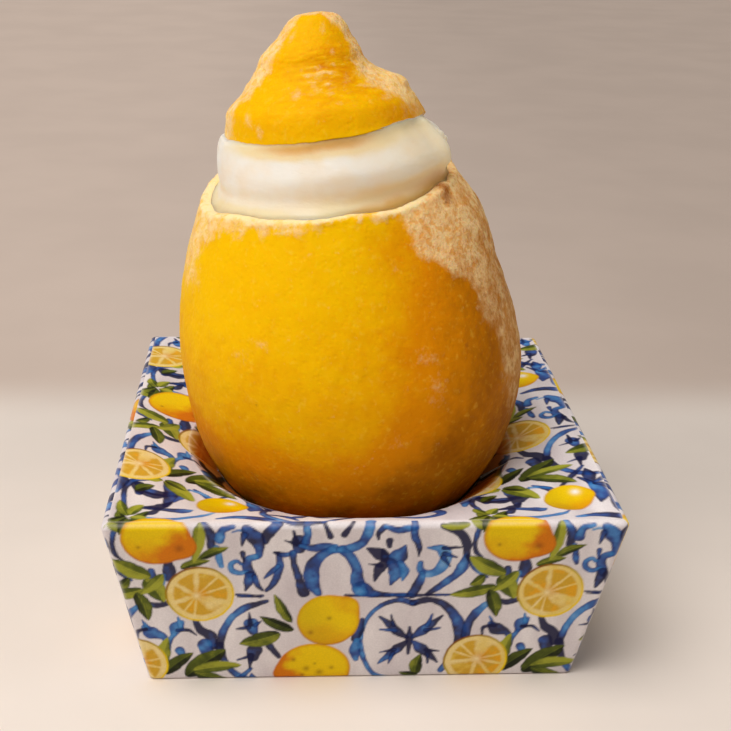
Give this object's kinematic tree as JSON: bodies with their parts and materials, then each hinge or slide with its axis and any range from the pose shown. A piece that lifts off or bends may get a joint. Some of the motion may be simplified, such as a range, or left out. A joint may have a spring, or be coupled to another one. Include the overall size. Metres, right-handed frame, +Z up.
{
  "type": "filled lemon ice cream in folded card holder",
  "caption": "Lemon ice cream in a scooped-out lemon shell with its cut-off tip as a lid, standing in a square folded card holder with a patterned print.",
  "frame": {"origin": "middle of the holder's base, on the surface it stands on", "axes": "+Z up, -Y towards the front panel of the holder"},
  "size_m": [0.1046, 0.1046, 0.1325],
  "materials": {
    "printed_card": "satin coated card with a blue, yellow and green print",
    "lemon_rind": "frozen yellow rind with pale frost",
    "lemon_ice_cream": "smooth creamy white",
    "cap_rind": "frozen wrinkled rind with pale frost"
  },
  "bodies": {
    "root": {"holder": "printed_card", "lemon_shell": "lemon_rind", "ice_cream": "lemon_ice_cream", "lemon_cap": "cap_rind"}
  },
  "joints": []
}
